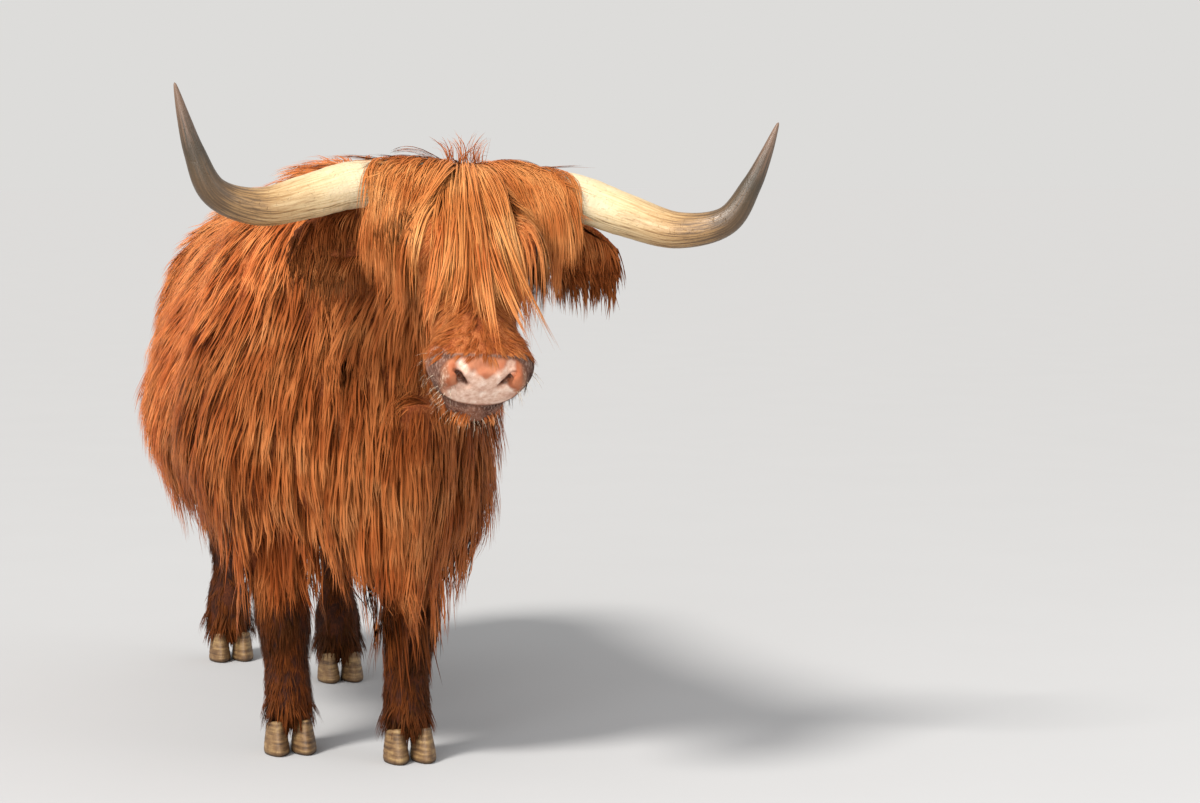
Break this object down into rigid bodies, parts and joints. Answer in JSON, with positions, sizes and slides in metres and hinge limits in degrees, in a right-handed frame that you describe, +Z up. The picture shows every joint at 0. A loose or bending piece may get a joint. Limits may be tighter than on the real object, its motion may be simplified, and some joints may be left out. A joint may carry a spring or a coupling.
{
  "type": "highland cow",
  "caption": "Still, life-size standing cow of a long-haired hill breed, with wide upswept horns and a long forelock.",
  "frame": {"origin": "on the floor, under the middle of the cow's outer box", "axes": "+Z up; the cow faces -Y and its left side is +X"},
  "size_m": [1.1464, 2.0106, 1.3533],
  "materials": {
    "coat": "long, shaggy red-brown hair",
    "fringe": "long golden-orange strands",
    "leg_coat": "shorter, darker red-brown hair",
    "bare_nose": "moist, pebbled bare skin, pinkish grey with dark edges",
    "udder": "soft, thinly haired skin",
    "horn": "smooth cream horn that darkens towards the tips",
    "hoof": "ridged brown hoof horn",
    "eye": "wet, dark brown eye"
  },
  "bodies": {
    "root": {"trunk": "coat", "neck": "coat", "head": "coat", "muzzle": "bare_nose", "lower_jaw": "leg_coat", "forelock": "fringe", "eye_left": "eye", "eye_right": "eye", "horn_left": "horn", "horn_right": "horn", "ear_left": "coat", "ear_right": "coat", "foreleg_right": "leg_coat", "foreleg_left": "leg_coat", "hindleg_right": "leg_coat", "hindleg_left": "leg_coat", "hoof_fore_right_inner": "hoof", "hoof_fore_right_outer": "hoof", "hoof_fore_left_inner": "hoof", "hoof_fore_left_outer": "hoof", "hoof_hind_right_inner": "hoof", "hoof_hind_right_outer": "hoof", "hoof_hind_left_inner": "hoof", "hoof_hind_left_outer": "hoof", "tail": "coat", "tail_switch": "fringe", "udder": "udder"}
  },
  "joints": []
}
